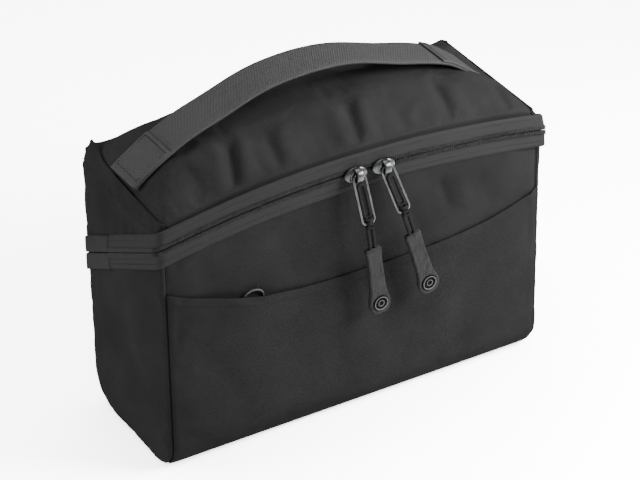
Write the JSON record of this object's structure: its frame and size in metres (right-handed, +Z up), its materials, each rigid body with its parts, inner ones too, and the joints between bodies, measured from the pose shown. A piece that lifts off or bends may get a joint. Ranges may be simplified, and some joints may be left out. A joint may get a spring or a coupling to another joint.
{
  "type": "padded camera case",
  "caption": "Soft padded camera case with rounded body, slanted front zip with two pulls, front slip pocket, domed lid and webbing carry handle.",
  "frame": {"origin": "centre of the flat base, on the floor", "axes": "+X along the width towards the case's right as seen from the front, -Y out of the front pocket, +Z up"},
  "size_m": [0.2786, 0.1192, 0.2295],
  "materials": {
    "shell_cloth": "matt woven nylon, very dark grey",
    "foam": "soft closed-cell foam",
    "stiffener": "satin sheet",
    "lining_cloth": "brushed loop lining",
    "hook_tape": "hook tape",
    "webbing": "ribbed webbing",
    "zip_tape": "herringbone tape",
    "zip_coil": "satin nylon coil",
    "zip_end_cloth": "smooth cloth",
    "slider_metal": "gunmetal plating",
    "ring_wire": "dark chrome",
    "cord": "braided cord",
    "pull_rubber": "satin moulded rubber",
    "badge_plastic": "satin, light ring line"
  },
  "bodies": {
    "bag_body": {"front_panel": "shell_cloth", "back_panel": "shell_cloth", "base_panel": "shell_cloth", "gusset_left": "shell_cloth", "gusset_right": "shell_cloth", "foam_front": "foam", "foam_base": "foam", "foam_back": "foam", "foam_left": "foam", "foam_right": "foam", "base_board": "stiffener", "body_lining": "lining_cloth", "pocket_panel": "shell_cloth", "pocket_loop": "cord", "zip_tape_lower": "zip_tape", "zip_coil_lower": "zip_coil", "zip_welt_lower": "zip_tape", "zip_end_lower_left": "zip_end_cloth", "zip_end_lower_right": "zip_end_cloth"},
    "lid": {"lid_top_panel": "shell_cloth", "lid_side_left": "shell_cloth", "lid_side_right": "shell_cloth", "lid_back_panel": "shell_cloth", "lid_foam": "foam", "lid_lining": "lining_cloth", "zip_tape_upper": "zip_tape", "zip_coil_upper": "zip_coil", "zip_welt_upper": "zip_tape", "zip_end_upper_left": "zip_end_cloth", "zip_end_upper_right": "zip_end_cloth", "handle_webbing": "webbing"},
    "slider_body_left": {"slider_left": "slider_metal"},
    "ring_body_left": {"ring_left": "ring_wire", "ring_cord_left": "cord"},
    "pull_body_left": {"hitch_left": "pull_rubber", "pull_cord_left": "cord", "tab_left": "pull_rubber", "badge_left": "badge_plastic"},
    "divider_body_left": {"divider_left": "lining_cloth", "divider_hooks_front_left": "hook_tape", "divider_hooks_back_left": "hook_tape"},
    "slider_body_right": {"slider_right": "slider_metal"},
    "ring_body_right": {"ring_right": "ring_wire", "ring_cord_right": "cord"},
    "pull_body_right": {"hitch_right": "pull_rubber", "pull_cord_right": "cord", "tab_right": "pull_rubber", "badge_right": "badge_plastic"},
    "divider_body_right": {"divider_right": "lining_cloth", "divider_hooks_front_right": "hook_tape", "divider_hooks_back_right": "hook_tape"}
  },
  "joints": [
    {"name": "lid_hinge", "type": "hinge", "parent": "bag_body", "child": "lid", "pos_m": [0, 0.05, 0.109], "axis": [-1, 0, 0], "range_deg": [0, 110]},
    {"name": "slider_travel_left", "type": "hinge", "parent": "bag_body", "child": "slider_body_left", "pos_m": [0, -0.054, -0.5555], "axis": [0, 1, 0], "range_deg": [-9, 0]},
    {"name": "ring_swing_left", "type": "hinge", "parent": "slider_body_left", "child": "ring_body_left", "pos_m": [-0.00461, -0.0601, 0.17749], "axis": [-0.9932, 0, -0.1167], "range_deg": [0, 65]},
    {"name": "pull_swing_left", "type": "hinge", "parent": "ring_body_left", "child": "pull_body_left", "pos_m": [-0.00086, -0.06606, 0.14555], "axis": [-0.9932, 0, -0.1167], "range_deg": [0, 75]},
    {"name": "divider_slide_left", "type": "slide", "parent": "bag_body", "child": "divider_body_left", "axis": [1, 0, 0], "range_m": [-0.03, 0.03]},
    {"name": "slider_travel_right", "type": "hinge", "parent": "bag_body", "child": "slider_body_right", "pos_m": [0, -0.054, -0.5555], "axis": [0, 1, 0], "range_deg": [0, 8.2]},
    {"name": "ring_swing_right", "type": "hinge", "parent": "slider_body_right", "child": "ring_body_right", "pos_m": [0.01492, -0.0601, 0.17735], "axis": [-0.9578, 0, -0.2874], "range_deg": [0, 65]},
    {"name": "pull_swing_right", "type": "hinge", "parent": "ring_body_right", "child": "pull_body_right", "pos_m": [0.02416, -0.06606, 0.14655], "axis": [-0.9578, 0, -0.2874], "range_deg": [0, 75]},
    {"name": "divider_slide_right", "type": "slide", "parent": "bag_body", "child": "divider_body_right", "axis": [1, 0, 0], "range_m": [-0.03, 0.03]}
  ]
}
